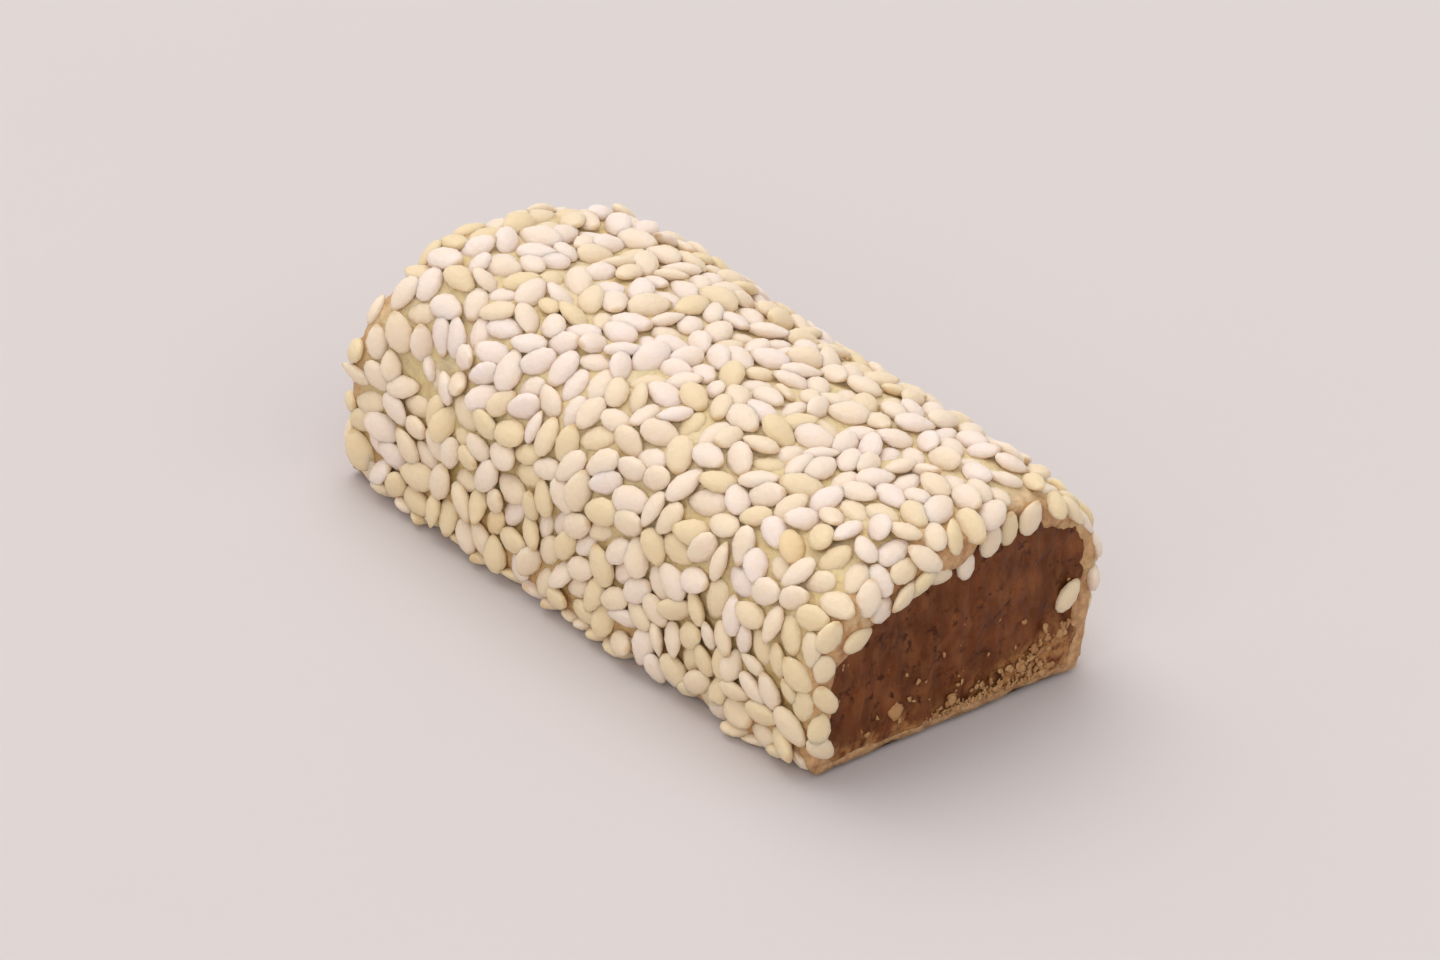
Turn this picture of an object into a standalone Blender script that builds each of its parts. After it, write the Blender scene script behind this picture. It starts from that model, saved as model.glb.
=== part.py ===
# Date finger cookie: a bar of date paste in a sleeve of baked dough that is rolled in sesame seeds.
# Metres, +Z up. The cookie lies along X, rests on its flat underside at z = 0, and is cut square at
# both ends, where the date paste shows. The origin is the centre of the underside.

import math
import random

import bmesh
import bpy
from mathutils import Matrix, Vector, noise

# Whole cookie, seeds included
LENGTH = 0.045
WIDTH = 0.025
HEIGHT = 0.0155

# Dough sleeve
SEED_PROUD = 0.00055
DOUGH_HALF_WIDTH = WIDTH / 2 - SEED_PROUD
DOUGH_TOP = HEIGHT - SEED_PROUD
WIDEST = 0.44 * DOUGH_TOP  # height of the section's widest line
TOP_SQUARENESS = 2.7
BOTTOM_SQUARENESS = 5.0
UNDERSIDE_PRESS = 0.00025  # how much of the underside the tray has flattened
POINTS_AROUND = 28
OUTER_RINGS = 11

# Unevenness of the hand-rolled dough
LUMP_HEIGHT = 0.0008
LUMP_SIZE = 0.0095
LUMP_MIDDLE = 0.4  # the noise value that leaves the dough where it is
LUMP_OFFSET = Vector((3.1, 7.4, 1.9))
UNDERSIDE_LUMPS = 0.1  # share of the lumps that the tray leaves underneath
BOW = 0.0003
NARROWING = 0.035  # the hidden end is this much narrower than the middle
DENT_PLACE = Vector((-0.0155, -0.0118, 0.0095))
DENT_DEPTH = 0.0009
DENT_RADIUS = 0.0028

# Cut ends
SEED_OVERHANG = 0.0005  # how far the outermost seeds reach past the dough
HOOD_REACH = 0.0006  # how far the dough on top reaches past the dough of the sides
RAGGED = 0.0003
RAGGED_SIZE = 0.003
DATE_TUCK = 0.0005  # how far the paste stands back from the dough of the sides
LIP_DROP = 0.0015  # how far the dough on top hangs down over the face of the paste
LIP_RAGGED = 0.0004
LIP_DEEPEST = {1: math.radians(125), -1: math.radians(60)}  # where, on each end
LIP_STEP = 0.00002
END_DROP = 0.0008  # the knife drags the top edge down
END_DROP_POWER = 14

# Date filling
GAP = 0.0003
WALL = 0.0014
TOP_WALL = 0.0017
DATE_HALF_WIDTH = DOUGH_HALF_WIDTH - WALL - GAP
DATE_BOTTOM = WALL + GAP
DATE_TOP = DOUGH_TOP - TOP_WALL - GAP
DATE_HALF_LENGTH = LENGTH / 2 - SEED_OVERHANG - HOOD_REACH - DATE_TUCK

# Sesame seeds
SEED_LENGTH = 0.0032
SEED_WIDTH = 0.0020
SEED_THICKNESS = 0.00095
SEED_TAPER = 0.34
SEED_BLUNTNESS = 0.09  # share of its length by which the round end is blunter than the point
SEED_SIDES = 6
SEED_BANDS = 3
SEED_COUNT = 230
SEED_TRIES = 30
SEED_SIZE_SPREAD = 0.13
SEED_TILT = math.radians(13)
SEED_SINK = SEED_THICKNESS / 2 - SEED_PROUD
RIM_MARGIN = 0.0007  # seeds keep their middles this far from the dough's end
ACROSS_WITHIN = 0.0018  # seeds this near the dough's end lie across the cookie
ACROSS_TURN = math.radians(35)
SIDE_LOWEST = 0.0012
LYING_BELOW = SEED_LENGTH * 0.6  # seeds lower than this lie along the tray
LYING_TURN = math.radians(14)
CUT_FACE_SEEDS = 4
CUT_FACE_TRIES = 5
CUT_FACE_MARGIN = 0.0027
DRAW = random.Random(27)

CRUST_COLOUR = (0.80, 0.62, 0.40, 1.0)
DATE_COLOUR = (0.115, 0.040, 0.018, 1.0)


def clear_scene():
    for obj in list(bpy.data.objects):
        bpy.data.objects.remove(obj, do_unlink=True)


def make_material(name, colour, roughness):
    material = bpy.data.materials.new(name)
    material.use_nodes = True
    shader = material.node_tree.nodes["Principled BSDF"]
    shader.inputs["Base Color"].default_value = colour
    shader.inputs["Roughness"].default_value = roughness
    shader.inputs["Metallic"].default_value = 0.0
    return material


def signed_power(value, power):
    return math.copysign(abs(value) ** power, value)


def rounded_section(angle, half_width, bottom, top):
    """A rounded oblong in the YZ plane, squarer below its widest line than above it."""
    above = math.sin(angle) >= 0
    squareness = TOP_SQUARENESS if above else BOTTOM_SQUARENESS
    reach = top - WIDEST if above else WIDEST - bottom
    y = half_width * signed_power(math.cos(angle), 2 / squareness)
    z = WIDEST + reach * signed_power(math.sin(angle), 2 / squareness)
    return y, z


def sideways_bow(along):
    return BOW * (1 - along * along)


def dough_end(angle, side):
    """Where the dough ends along X: past the paste on top, level with it at the sides and below."""
    hood = max(0.0, math.sin(angle)) ** 1.5
    place = Vector((side * 5.0, math.cos(angle), math.sin(angle))) * (WIDTH / 2 / RAGGED_SIZE)
    ragged = RAGGED * noise.noise(place)
    return DATE_HALF_LENGTH + DATE_TUCK + HOOD_REACH * hood + ragged * (0.3 + 0.7 * hood)


def dough_point(along, angle):
    """A point on the dough's outside: along runs from -1 to 1 between the ends."""
    half_width = DOUGH_HALF_WIDTH * (1 - NARROWING * max(0.0, -along) ** 2)
    y, z = rounded_section(angle, half_width, -UNDERSIDE_PRESS, DOUGH_TOP)
    x = along * dough_end(angle, math.copysign(1, along))
    lump = LUMP_HEIGHT * (noise.noise(Vector((x, y, z)) / LUMP_SIZE + LUMP_OFFSET) - LUMP_MIDDLE)
    lump *= max(UNDERSIDE_LUMPS, min(1.0, 1 + math.sin(angle)))
    lump -= DENT_DEPTH * math.exp(-(((Vector((x, y, z)) - DENT_PLACE).length / DENT_RADIUS) ** 2))
    drop = END_DROP * abs(along) ** END_DROP_POWER * max(0.0, math.sin(angle))
    y += lump * math.cos(angle) + sideways_bow(along)
    z += lump * math.sin(angle) - drop
    return Vector((x, y, max(0.0, z)))


def date_point(x, angle, grow):
    """A point on the date paste's outside, or that far out of it on the sleeve's inner wall."""
    y, z = rounded_section(angle, DATE_HALF_WIDTH + grow, DATE_BOTTOM - grow, DATE_TOP + grow)
    return Vector((x, y + sideways_bow(x / DATE_HALF_LENGTH), z))


def lip_point(x, angle, side):
    """A point on the edge of the lip that hangs over the paste at a cut end."""
    drop = LIP_DROP * max(0.0, math.cos(angle - LIP_DEEPEST[side])) ** 2
    place = Vector((side * 9.0, math.cos(angle), math.sin(angle))) * (WIDTH / 2 / RAGGED_SIZE)
    ragged = LIP_RAGGED * noise.noise(place) * drop / LIP_DROP
    return date_point(side * x, angle, GAP - drop - ragged)


def angles():
    return [2 * math.pi * step / POINTS_AROUND for step in range(POINTS_AROUND)]


def eased_stations(count):
    """Places from -1 to 1, closer together near the ends."""
    steps = [-1 + 2 * step / (count - 1) for step in range(count)]
    return [1.5 * step - 0.5 * step**3 for step in steps]


def skin_between(mesh, first, second):
    for here in range(len(first)):
        after = (here + 1) % len(first)
        mesh.faces.new((first[here], first[after], second[after], second[here]))


def finish_object(name, mesh, material):
    bmesh.ops.recalc_face_normals(mesh, faces=mesh.faces)
    data = bpy.data.meshes.new(name)
    mesh.to_mesh(data)
    mesh.free()
    data.materials.append(material)
    obj = bpy.data.objects.new(name, data)
    bpy.context.scene.collection.objects.link(obj)
    return obj


def make_dough_sleeve(material):
    """A tube, open at both ends: the outer rings run one way, then the lip and the inner rings back."""
    mesh = bmesh.new()
    rings = [[dough_point(along, angle) for angle in angles()] for along in eased_stations(OUTER_RINGS)]
    behind_lip = DATE_HALF_LENGTH + GAP
    inner_end = behind_lip - LIP_STEP
    rings.append([lip_point(dough_end(angle, 1), angle, 1) for angle in angles()])
    rings.append([lip_point(behind_lip, angle, 1) for angle in angles()])
    for x in (inner_end, 0.0, -inner_end):
        rings.append([date_point(x, angle, GAP) for angle in angles()])
    rings.append([lip_point(behind_lip, angle, -1) for angle in angles()])
    rings.append([lip_point(dough_end(angle, -1), angle, -1) for angle in angles()])
    loops = [[mesh.verts.new(point) for point in ring] for ring in rings]
    for first, second in zip(loops, loops[1:] + loops[:1]):
        skin_between(mesh, first, second)
    return finish_object("sesame_crust", mesh, material)


def make_date_filling(material):
    mesh = bmesh.new()
    stations = (-DATE_HALF_LENGTH, 0.0, DATE_HALF_LENGTH)
    loops = [[mesh.verts.new(date_point(x, angle, 0.0)) for angle in angles()] for x in stations]
    for first, second in zip(loops, loops[1:]):
        skin_between(mesh, first, second)
    mesh.faces.new(loops[0])
    mesh.faces.new(loops[-1])
    return finish_object("date_filling", mesh, material)


def make_seed_mesh():
    """One flat teardrop of unit length, width and thickness, with its point along +X."""
    mesh = bmesh.new()
    bmesh.ops.create_uvsphere(mesh, u_segments=SEED_SIDES, v_segments=SEED_BANDS, radius=0.5)
    bmesh.ops.rotate(mesh, verts=mesh.verts, matrix=Matrix.Rotation(math.pi / 2, 3, "Y"))
    for vertex in mesh.verts:
        slimmer = 1 - SEED_TAPER * (vertex.co.x + 0.25)
        vertex.co.y *= slimmer
        vertex.co.z *= slimmer
        if -0.4 < vertex.co.x < 0:
            vertex.co.x -= SEED_BLUNTNESS
    data = bpy.data.meshes.new("sesame_seed")
    mesh.to_mesh(data)
    mesh.free()
    return data


def seed_scales(count):
    """Size factors, largest first."""
    return sorted((DRAW.gauss(1.0, SEED_SIZE_SPREAD / 2) for _ in range(count)), reverse=True)


def spots_on_faces(faces, count):
    """Random places on four-sided faces, in proportion to their area, each with the face's normal."""
    spots = []
    for face in DRAW.choices(faces, weights=[face.calc_area() for face in faces], k=count):
        corners = [vertex.co for vertex in face.verts]
        across = DRAW.random()
        near = corners[0].lerp(corners[1], across)
        far = corners[3].lerp(corners[2], across)
        spots.append((near.lerp(far, DRAW.random()), face.normal.copy()))
    return spots


def even_spots(draw_tries, count, allowed):
    """Spreads places evenly: each is the one farthest from the rest out of a handful of tries."""
    chosen = []

    def distance_to_rest(spot):
        return min(((spot[0] - other[0]).length for other in chosen), default=1.0)

    while len(chosen) < count:
        tries = [spot for spot in draw_tries() if allowed(spot[0])]
        if tries:
            chosen.append(max(tries, key=distance_to_rest))
    return chosen


def near_end(place):
    return abs(place.x) > LENGTH / 2 - SEED_OVERHANG - ACROSS_WITHIN


def seed_turn(place, normal):
    """Seeds lie any way round, but along the tray at the bottom and across at the ends of the sleeve."""
    on_sleeve = abs(normal.x) < 0.9
    if on_sleeve and place.z < LYING_BELOW:
        return DRAW.uniform(-LYING_TURN, LYING_TURN)
    if on_sleeve and near_end(place):
        return math.pi / 2 + DRAW.uniform(-ACROSS_TURN, ACROSS_TURN)
    return DRAW.uniform(-math.pi, math.pi)


def seed_matrix(place, normal, scale):
    turn = Matrix.Rotation(seed_turn(place, normal), 4, "Z")
    lean = Matrix.Rotation(DRAW.gauss(0, SEED_TILT / 2), 4, "X")
    pitch = Matrix.Rotation(DRAW.gauss(0, SEED_TILT / 2), 4, "Y")
    stand = normal.to_track_quat("Z", "Y").to_matrix().to_4x4()
    size = Matrix.Diagonal((SEED_LENGTH * scale, SEED_WIDTH * scale, SEED_THICKNESS, 1))
    return Matrix.Translation(place - normal * SEED_SINK) @ stand @ turn @ lean @ pitch @ size


def crust_spots(crust):
    """Seed places on the outside of the sleeve, on top and down the sides."""
    mesh = bmesh.new()
    mesh.from_mesh(crust.data)
    mesh.faces.ensure_lookup_table()
    outside = [face for face in mesh.faces if is_outside(face)]

    def allowed(place):
        if near_end(place) and place.z < LYING_BELOW:
            return False
        return abs(place.x) < LENGTH / 2 - SEED_OVERHANG - RIM_MARGIN and place.z > SIDE_LOWEST

    spots = even_spots(lambda: spots_on_faces(outside, SEED_TRIES), SEED_COUNT, allowed)
    mesh.free()
    return spots


def is_outside(face):
    """True on the dough's outer skin, apart from its underside and the cut ends."""
    centre = face.calc_center_median()
    away = Vector((0, centre.y, centre.z - WIDEST))
    return face.normal.dot(away) > 0 and abs(face.normal.x) < 0.7 and face.normal.z > -0.7


def cut_face_spots(side):
    """A few stray seeds that the knife has left on one half of the date paste's face."""
    widest = DATE_HALF_WIDTH - CUT_FACE_MARGIN
    lowest = DATE_BOTTOM + CUT_FACE_MARGIN
    highest = DATE_TOP - CUT_FACE_MARGIN

    def draw_spot():
        y = side * DRAW.uniform(0, widest)
        z = DRAW.uniform(lowest, highest)
        return Vector((side * DATE_HALF_LENGTH, y, z)), Vector((side, 0, 0))

    def draw_tries():
        return [draw_spot() for _ in range(CUT_FACE_TRIES)]

    return even_spots(draw_tries, CUT_FACE_SEEDS, lambda place: True)


def scatter_seeds(spots, seed_mesh, collection):
    for (place, normal), scale in zip(spots, seed_scales(len(spots))):
        seed = bpy.data.objects.new("seed", seed_mesh)
        seed.matrix_world = seed_matrix(place, normal, scale)
        collection.objects.link(seed)


def keep_largest_shell(obj):
    """Drops loose scraps, and the inner shells of hollows that the seeds have closed off."""
    mesh = bmesh.new()
    mesh.from_mesh(obj.data)
    waiting = set(mesh.verts)
    shells = []
    while waiting:
        front = [waiting.pop()]
        shell = list(front)
        while front:
            vertex = front.pop()
            near = {edge.other_vert(vertex) for edge in vertex.link_edges} & waiting
            waiting -= near
            front.extend(near)
            shell.extend(near)
        shells.append(shell)
    shells.sort(key=len, reverse=True)
    for shell in shells[1:]:
        bmesh.ops.delete(mesh, geom=shell, context="VERTS")
    mesh.to_mesh(obj.data)
    mesh.free()


def fuse_seeds(obj, spots, seed_mesh):
    """Joins the seeds to the piece that they lie on, and removes the loose ones."""
    collection = bpy.data.collections.new(obj.name + "_seeds")
    bpy.context.scene.collection.children.link(collection)
    scatter_seeds(spots, seed_mesh, collection)
    union = obj.modifiers.new("Seeds", "BOOLEAN")
    union.operation = "UNION"
    union.operand_type = "COLLECTION"
    union.collection = collection
    union.solver = "MANIFOLD"
    bpy.context.view_layer.objects.active = obj
    bpy.ops.object.modifier_apply(modifier=union.name)
    for seed in list(collection.objects):
        bpy.data.objects.remove(seed, do_unlink=True)
    bpy.data.collections.remove(collection)
    keep_largest_shell(obj)


def centre_on_origin(objects):
    """Moves the cookie sideways so that the middle of its box is on the Z axis."""
    points = [vertex.co for obj in objects for vertex in obj.data.vertices]
    middle_x = (min(p.x for p in points) + max(p.x for p in points)) / 2
    middle_y = (min(p.y for p in points) + max(p.y for p in points)) / 2
    for obj in objects:
        obj.data.transform(Matrix.Translation((-middle_x, -middle_y, 0)))


def shade_round(obj):
    obj.data.shade_smooth()
    obj.data.set_sharp_from_angle(angle=math.radians(38))


def main():
    clear_scene()
    crust = make_dough_sleeve(make_material("sesame_dough", CRUST_COLOUR, 0.62))
    filling = make_date_filling(make_material("date_paste", DATE_COLOUR, 0.48))
    seed_mesh = make_seed_mesh()
    fuse_seeds(crust, crust_spots(crust), seed_mesh)
    fuse_seeds(filling, cut_face_spots(1) + cut_face_spots(-1), seed_mesh)
    centre_on_origin([crust, filling])
    for obj in (crust, filling):
        shade_round(obj)


main()
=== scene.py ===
# Date finger cookie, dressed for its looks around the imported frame
import math

import bmesh
import bpy
import numpy as np
from mathutils import Matrix, Vector, noise
from mathutils.bvhtree import BVHTree


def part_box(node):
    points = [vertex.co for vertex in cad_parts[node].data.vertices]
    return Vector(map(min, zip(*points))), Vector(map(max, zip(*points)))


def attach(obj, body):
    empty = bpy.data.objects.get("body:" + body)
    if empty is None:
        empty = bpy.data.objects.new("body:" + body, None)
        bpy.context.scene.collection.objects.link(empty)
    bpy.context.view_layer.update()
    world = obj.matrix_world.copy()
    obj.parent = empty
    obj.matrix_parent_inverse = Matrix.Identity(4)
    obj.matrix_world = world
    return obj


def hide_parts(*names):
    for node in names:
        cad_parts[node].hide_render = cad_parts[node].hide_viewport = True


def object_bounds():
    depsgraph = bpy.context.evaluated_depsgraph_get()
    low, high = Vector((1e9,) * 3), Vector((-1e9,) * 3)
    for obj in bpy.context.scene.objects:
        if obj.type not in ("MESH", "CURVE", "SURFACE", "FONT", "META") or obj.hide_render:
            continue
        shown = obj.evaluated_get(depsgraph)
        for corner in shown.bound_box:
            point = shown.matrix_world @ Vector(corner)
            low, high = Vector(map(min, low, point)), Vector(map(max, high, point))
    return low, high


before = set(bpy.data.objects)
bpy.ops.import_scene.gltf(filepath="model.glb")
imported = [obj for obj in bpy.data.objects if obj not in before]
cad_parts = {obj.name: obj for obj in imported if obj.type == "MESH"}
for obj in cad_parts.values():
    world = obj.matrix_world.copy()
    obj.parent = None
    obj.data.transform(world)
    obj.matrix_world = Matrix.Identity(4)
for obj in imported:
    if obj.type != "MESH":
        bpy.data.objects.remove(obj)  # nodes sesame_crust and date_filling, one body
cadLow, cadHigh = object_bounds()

crustLow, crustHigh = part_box("sesame_crust")
dateLow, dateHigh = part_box("date_filling")


# Picking and moving parts of a mesh, as by hand in edit mode

def deselectAll():
    if bpy.context.mode != "OBJECT":
        bpy.ops.object.mode_set(mode="OBJECT")
    bpy.ops.object.select_all(action="DESELECT")


def makeActive(piece):
    deselectAll()
    piece.select_set(True)
    bpy.context.view_layer.objects.active = piece


def startEdit(piece):
    makeActive(piece)
    bpy.ops.object.mode_set(mode="EDIT")


def endEdit():
    bpy.ops.object.mode_set(mode="OBJECT")


def pick(piece, kind, test):
    # kind is VERT, EDGE or FACE, and test gets each such element
    bpy.ops.mesh.select_mode(type=kind)
    bpy.ops.mesh.select_all(action="DESELECT")
    mesh = bmesh.from_edit_mesh(piece.data)
    elements = {"VERT": mesh.verts, "EDGE": mesh.edges, "FACE": mesh.faces}[kind]
    for element in elements:
        element.select = bool(test(element))
    mesh.select_flush_mode()
    bmesh.update_edit_mesh(piece.data)


def runsAlongX(edge):
    return abs(edge.verts[0].co.x - edge.verts[1].co.x) > 0.5 * (cadHigh.x - cadLow.x)


def pull(piece, near, reach, move, grab=0.0003):
    # drags the points at a spot, with the area around them following softly
    spot = Vector(near)
    closest = min((vertex.co - spot).length for vertex in bmesh.from_edit_mesh(piece.data).verts)
    pick(piece, "VERT", lambda vertex: (vertex.co - spot).length < closest + grab)
    bpy.ops.transform.translate(
        value=move, use_proportional_edit=True, proportional_size=reach,
        proportional_edit_falloff="SMOOTH", use_proportional_connected=True)


def applyRemesh(piece, voxel):
    remesh = piece.modifiers.new("Even mesh", "REMESH")
    remesh.mode = "VOXEL"
    remesh.voxel_size = voxel
    makeActive(piece)
    bpy.ops.object.modifier_apply(modifier=remesh.name)


def applyLumps(piece, size, height):
    # cloudy dents and bulges, as in anything rolled by hand
    clouds = bpy.data.textures.new(piece.name + "Lumps", "CLOUDS")
    clouds.noise_scale = size
    clouds.noise_depth = 2
    displace = piece.modifiers.new("Lumps", "DISPLACE")
    displace.texture = clouds
    displace.texture_coords = "LOCAL"
    displace.strength = height
    displace.mid_level = 0.5
    makeActive(piece)
    bpy.ops.object.modifier_apply(modifier=displace.name)


def readVectors(mesh, name):
    # one row of three numbers for each vertex
    values = np.empty(len(mesh.vertices) * 3)
    mesh.vertices.foreach_get(name, values)
    return values.reshape(-1, 3)


def addRoundedBar(name, low, high, s):
    # a bar along X with round shoulders on top and smaller rounds at its foot
    middle = (low + high) / 2
    bpy.ops.mesh.primitive_cube_add(size=1, location=middle, scale=high - low)
    bar = bpy.context.object
    bar.name = name
    bpy.ops.object.transform_apply()
    startEdit(bar)
    pick(bar, "EDGE", lambda edge: runsAlongX(edge) and edge.verts[0].co.z > middle.z)
    bpy.ops.mesh.bevel(offset=s["shoulder"], segments=s["shoulderSteps"], profile=0.5)
    lowest = low.z + s["foot"] / 2
    pick(bar, "EDGE", lambda edge: runsAlongX(edge) and edge.verts[0].co.z < lowest)
    bpy.ops.mesh.bevel(offset=s["foot"], segments=s["footSteps"], profile=0.5)
    endEdit()
    return bar


# Dough sleeve

doughWrap = {
    "seedRoom": 0.00112,  # the seed coat outside the dough
    "endRoom": 0.0011,
    "underside": 0.00035,  # height above the floor, for the seeds under it
    "wall": 0.0013,
    "bottomWall": 0.0012,
    "shoulder": 0.0066,
    "shoulderSteps": 10,
    "foot": 0.0017,
    "footSteps": 4,
    "footFlat": 0.4,  # share of the foot's round that is pressed flat
    "voxel": 0.0003,
    "domeRise": 0.0005,
    "domeReach": 0.0085,
    "crownHalf": 0.001,  # half width and depth of the strip that is pulled up
    "crownDepth": 0.0004,
    "lumpSize": 0.0085,
    "lumpHeight": 0.0011,
    "crumbSize": 0.0011,
    "crumbHeight": 0.00024,
    "dent": (-0.0158, -0.0112, 0.0103),
    "dentMove": (0.0, 0.0007, -0.0004),
    "dentReach": 0.0048,
    "lipDrop": 0.0016,
    "lipReach": 0.0042,
    "lipSide": 0.55,  # how far out the deepest pull is, as a share of the half width
    "lipDepth": 0.0005,
    "lipMiddle": 0.2,
    "lipMiddleDrop": 0.35,
    "lipOtherDrop": 0.4,
    "hoodReach": 0.0006,
    "rimSeed": 40,
    "rimSteps": 7,
    "rimStart": -0.9,
    "rimStride": 0.3,
    "rimBelow": 0.0012,
    "rimRound": 0.004,
    "rimNudge": 0.0006,
    "rimOut": (-1.0, 0.45),
    "rimUp": (-0.5, 0.3),
    "rimReach": 0.0022,
    "innerPast": 0.3,  # an angle: how far below the sides' middles it goes on
    "innerStride": 0.33,
    "innerNudge": 0.0005,
    "innerIn": (-0.6, 1),
    "innerOut": (-0.8, 0.2),
    "innerReach": 0.0014,
}

doughEnd = crustHigh.x - doughWrap["endRoom"]  # the dough reaches as far as this both ways


def makeDoughWrap(s):
    low = Vector((crustLow.x + s["endRoom"], crustLow.y + s["seedRoom"], 0))
    top = crustHigh.z - s["seedRoom"] - s["domeRise"]
    high = Vector((doughEnd, crustHigh.y - s["seedRoom"], top))
    wrap = addRoundedBar("doughWrap", low, high, s)
    startEdit(wrap)
    pick(wrap, "FACE", lambda face: abs(face.normal.x) > 0.9)
    bpy.ops.mesh.inset(thickness=s["wall"], use_individual=True)
    holeTop = high.z - s["wall"]
    stretch = (holeTop - s["bottomWall"]) / (holeTop - s["wall"])
    bpy.ops.transform.resize(value=(1, 1, stretch), center_override=(0, 0, holeTop))
    bpy.ops.mesh.bridge_edge_loops()  # joins the two insets into the hole for the dates
    endEdit()
    applyRemesh(wrap, s["voxel"])
    startEdit(wrap)
    crownLow = high.z - s["crownDepth"]
    pick(wrap, "VERT", lambda vertex: vertex.co.z > crownLow and abs(vertex.co.y) < s["crownHalf"])
    bpy.ops.transform.translate(
        value=(0, 0, s["domeRise"]), use_proportional_edit=True,
        proportional_size=s["domeReach"], proportional_edit_falloff="SMOOTH")
    for side in (1, -1):
        shapeRim(wrap, side, high, s)
    pull(wrap, s["dent"], s["dentReach"], s["dentMove"])
    endEdit()
    applyLumps(wrap, s["lumpSize"], s["lumpHeight"])
    applyLumps(wrap, s["crumbSize"], s["crumbHeight"])
    startEdit(wrap)
    pick(wrap, "VERT", lambda vertex: vertex.co.z < s["foot"] * s["footFlat"])
    bpy.ops.transform.resize(value=(1, 1, 0), center_override=(0, 0, s["underside"]))
    endEdit()
    bpy.ops.object.shade_smooth()
    return wrap


def shapeRim(wrap, side, high, s):
    # the knife drags the top edge out and down over the dates, and leaves it ragged
    end = high.x * side
    pullLip(wrap, side, high.x, high.y, high.z - s["wall"], s)
    rim = np.random.default_rng(s["rimSeed"] + side)
    for step in range(s["rimSteps"]):
        y = high.y * (s["rimStart"] + s["rimStride"] * step)
        z = high.z - s["rimBelow"] - s["rimRound"] * (y / high.y) ** 4
        out = rim.uniform(*s["rimOut"]) * s["rimNudge"] * side
        pull(wrap, (end, y, z), s["rimReach"], (out, 0, rim.uniform(*s["rimUp"]) * s["rimNudge"]))
    middle = (high.z - s["wall"]) / 2
    for angle in np.arange(-s["innerPast"], math.pi + s["innerPast"], s["innerStride"]):
        y = math.cos(angle) * (high.y - s["wall"])
        z = middle + math.sin(angle) * middle
        inward = Vector((0, -math.cos(angle), -math.sin(angle)))
        inward = inward * rim.uniform(*s["innerIn"]) * s["innerNudge"]
        inward.x = rim.uniform(*s["innerOut"]) * s["innerNudge"] * side
        pull(wrap, (end, y, z), s["innerReach"], inward)


def pullLip(piece, side, end, halfWidth, top, s):
    # the dough's edge and the dates under it go down together, most on one shoulder
    shoulder = -halfWidth * s["lipSide"] * side
    out = s["hoodReach"] * side if piece.name == "doughWrap" else 0
    for across, depth, outward, drop in (
            (shoulder, s["lipDepth"], out, 1),
            (shoulder * s["lipMiddle"], 0, out, s["lipMiddleDrop"]),
            (-shoulder, s["lipDepth"], 0, s["lipOtherDrop"])):
        spot = (end * side, across, top - depth)
        pull(piece, spot, s["lipReach"], (outward, 0, -s["lipDrop"] * drop))


# Date paste

datePaste = {
    "faceRoom": 0.00012,  # room for stray seeds on the cut faces
    "grow": 0.00022,  # pressed into the dough, so that no gap shows
    "footDrop": 0.0009,
    "shoulder": 0.0052,
    "shoulderSteps": 8,
    "foot": 0.0012,
    "footSteps": 3,
    "voxel": 0.0002,
    "streakWidth": 0.0011,
    "streakLength": 0.007,
    "streakHeight": 0.00014,
    "fractal": (1.0, 2.1, 3),
    "slant": 0.08,
    "wander": 0.0012,
    "wanderSize": 0.004,
    "lumpSize": 0.0014,
    "lumpHeight": 0.00022,
    "pitSize": 0.0006,
    "pitDepth": 0.0003,
    "pitFrom": 0.1,
    "swell": 0.0004,
    "swellWidth": 0.006,
    "swellHeight": 0.005,
    "endsApart": 4.0,  # in the noise, so that the two ends differ
}

cutFace = dateHigh.x - datePaste["faceRoom"]


def makeDatePaste(s):
    low = Vector((-cutFace, dateLow.y - s["grow"], dateLow.z - s["footDrop"]))
    high = Vector((cutFace, dateHigh.y + s["grow"], dateHigh.z + s["grow"]))
    paste = addRoundedBar("datePaste", low, high, s)
    applyRemesh(paste, s["voxel"])
    startEdit(paste)
    pull(paste, doughWrap["dent"], doughWrap["dentReach"], doughWrap["dentMove"])
    for side in (1, -1):
        pullLip(paste, side, cutFace, high.y + doughWrap["wall"], high.z, doughWrap)
    endEdit()
    points = readVectors(paste.data, "co")
    onEnd = np.abs(points[:, 0]) > cutFace - s["voxel"]
    for index in np.nonzero(onEnd)[0]:
        points[index, 0] += math.copysign(1, points[index, 0]) * cutRelief(points[index], s)
    paste.data.vertices.foreach_set("co", points.ravel())
    makeActive(paste)
    bpy.ops.object.shade_smooth()
    return paste


def cutRelief(point, s):
    # smears that the knife drew, soft lumps of fruit, and small pits between them
    x, y, z = point
    side = math.copysign(s["endsApart"], x)

    def clouds(width, height):
        return noise.noise(Vector((side, y / s[width], z / s[height])))

    wander = z + s["wander"] * clouds("wanderSize", "wanderSize")
    across = (y + s["slant"] * wander) / s["streakWidth"]
    streaks = noise.fractal(Vector((side, across, wander / s["streakLength"])), *s["fractal"])
    pits = noise.noise(Vector((side, y, z)) / s["pitSize"])
    relief = s["streakHeight"] * streaks + s["lumpHeight"] * clouds("lumpSize", "lumpSize")
    relief += s["swell"] * clouds("swellWidth", "swellHeight")
    return relief - s["pitDepth"] * max(0.0, pits - s["pitFrom"])


# Sesame seeds

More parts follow.
